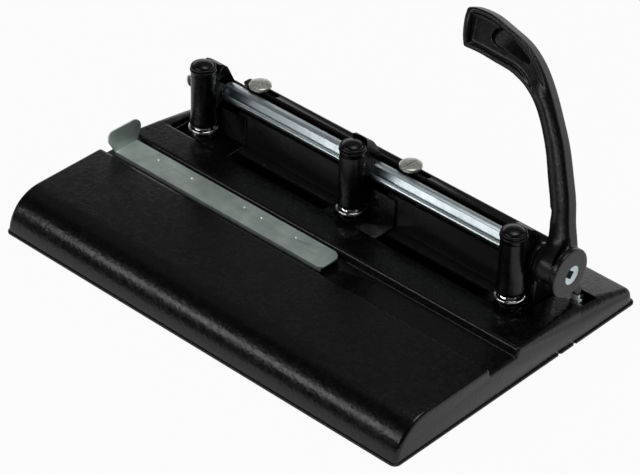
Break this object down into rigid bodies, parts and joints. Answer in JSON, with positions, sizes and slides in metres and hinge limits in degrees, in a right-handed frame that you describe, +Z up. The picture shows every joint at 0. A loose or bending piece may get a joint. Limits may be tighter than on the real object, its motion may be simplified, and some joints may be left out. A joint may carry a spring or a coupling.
{
  "type": "hole punch",
  "caption": "Heavy-duty lever hole punch: black pressed base, keyed cross shaft driving sliding punch heads, curved side handle, zinc paper gauge and chip drawer.",
  "frame": {"origin": "centre of the base's footprint, on the table under the feet", "axes": "+X along the drive shaft towards the handle, +Y from the paper side to the back, +Z up"},
  "size_m": [0.2761, 0.186, 0.1407],
  "materials": {
    "base_enamel": "satin black enamel with a fine leathery orange-peel texture",
    "rail_enamel": "smooth glossy black enamel",
    "casting_enamel": "satin black enamel over a casting",
    "handle_enamel": "satin black enamel over a rough casting",
    "zinc_plate": "zinc-plated sheet, slightly mottled",
    "zinc_screw": "zinc-plated, slotted",
    "bright_shaft": "bright drawn steel",
    "chrome_ring": "polished chrome",
    "tool_steel": "ground steel",
    "spring_wire": "drawn spring wire",
    "bronze_bush": "sintered bronze",
    "foot_rubber": "black rubber",
    "drawer_plastic": "moulded black plastic"
  },
  "bodies": {
    "base": {"base_shell": "base_enamel", "bottom_plate": "base_enamel", "bottom_screws": "zinc_screw", "foot_front_left": "foot_rubber", "foot_front_right": "foot_rubber", "foot_rear_left": "foot_rubber", "foot_rear_right": "foot_rubber", "rail": "rail_enamel", "rail_screws": "zinc_screw", "end_plate_left": "rail_enamel", "end_plate_right": "rail_enamel", "shaft_bush_left": "bronze_bush", "shaft_bush_right": "bronze_bush", "handle_stop": "zinc_plate", "head_screws": "zinc_screw", "head_casting_right": "casting_enamel", "head_cap_right": "casting_enamel", "foot_collar_right": "chrome_ring", "die_bush_right": "tool_steel", "return_spring_right": "spring_wire"},
    "handle": {"handle": "handle_enamel", "drive_shaft": "bright_shaft", "shaft_clip": "zinc_plate", "thrust_washer": "zinc_plate", "hub_key": "tool_steel", "grub_screw": "tool_steel", "crank_right": "tool_steel"},
    "head_left": {"head_casting_left": "casting_enamel", "head_cap_left": "casting_enamel", "foot_collar_left": "chrome_ring", "die_bush_left": "tool_steel", "return_spring_left": "spring_wire"},
    "head_middle": {"head_casting_middle": "casting_enamel", "head_cap_middle": "casting_enamel", "foot_collar_middle": "chrome_ring", "die_bush_middle": "tool_steel", "return_spring_middle": "spring_wire"},
    "crank_left": {"crank_left": "tool_steel"},
    "crank_middle": {"crank_middle": "tool_steel"},
    "pin_left": {"punch_pin_left": "tool_steel"},
    "pin_middle": {"punch_pin_middle": "tool_steel"},
    "pin_right": {"punch_pin_right": "tool_steel"},
    "lock_screw_left": {"lock_screw_left": "zinc_screw"},
    "lock_screw_middle": {"lock_screw_middle": "zinc_screw"},
    "gauge": {"gauge_strip": "zinc_plate", "gauge_rivets": "zinc_plate"},
    "chip_drawer": {"chip_drawer": "drawer_plastic"}
  },
  "joints": [
    {"name": "handle_hinge", "type": "hinge", "parent": "base", "child": "handle", "pos_m": [0, 0.039, 0.045], "axis": [1, 0, 0], "range_deg": [0, 52], "stiffness_Nm_per_rad": 0.5, "springref_deg": -17.19},
    {"name": "head_left_slide", "type": "slide", "parent": "base", "child": "head_left", "axis": [1, 0, 0], "range_m": [-0.005, 0.012]},
    {"name": "head_middle_slide", "type": "slide", "parent": "base", "child": "head_middle", "axis": [1, 0, 0], "range_m": [-0.005, 0.012]},
    {"name": "crank_left_hinge", "type": "hinge", "parent": "head_left", "child": "crank_left", "pos_m": [-0.10795, 0.039, 0.045], "axis": [1, 0, 0], "range_deg": [0, 52.1]},
    {"name": "lock_screw_left_turn", "type": "hinge", "parent": "head_left", "child": "lock_screw_left", "pos_m": [-0.08695, 0.0471, 0.0513], "axis": [0, 0, 1], "range_deg": [0, 180]},
    {"name": "crank_middle_hinge", "type": "hinge", "parent": "head_middle", "child": "crank_middle", "pos_m": [0, 0.039, 0.045], "axis": [1, 0, 0], "range_deg": [0, 52.1]},
    {"name": "lock_screw_middle_turn", "type": "hinge", "parent": "head_middle", "child": "lock_screw_middle", "pos_m": [0.021, 0.0471, 0.0513], "axis": [0, 0, 1], "range_deg": [0, 180]},
    {"name": "pin_left_slide", "type": "slide", "parent": "head_left", "child": "pin_left", "axis": [0, 0, -1], "range_m": [0, 0.0101], "deforming": ["return_spring_left"]},
    {"name": "pin_middle_slide", "type": "slide", "parent": "head_middle", "child": "pin_middle", "axis": [0, 0, -1], "range_m": [0, 0.0101], "deforming": ["return_spring_middle"]},
    {"name": "pin_right_slide", "type": "slide", "parent": "base", "child": "pin_right", "axis": [0, 0, -1], "range_m": [0, 0.0101], "deforming": ["return_spring_right"]},
    {"name": "gauge_slide", "type": "slide", "parent": "base", "child": "gauge", "axis": [-1, 0, 0], "range_m": [0, 0.09]},
    {"name": "drawer_slide", "type": "slide", "parent": "base", "child": "chip_drawer", "axis": [-1, 0, 0], "range_m": [0, 0.12]}
  ],
  "couplings": [
    {"joint": "crank_left_hinge", "follows": "handle_hinge", "ratio": 1},
    {"joint": "crank_middle_hinge", "follows": "handle_hinge", "ratio": 1},
    {"joint": "pin_left_slide", "follows": "handle_hinge", "m_per_rad": 0.01111},
    {"joint": "pin_middle_slide", "follows": "handle_hinge", "m_per_rad": 0.01111},
    {"joint": "pin_right_slide", "follows": "handle_hinge", "m_per_rad": 0.01111}
  ]
}
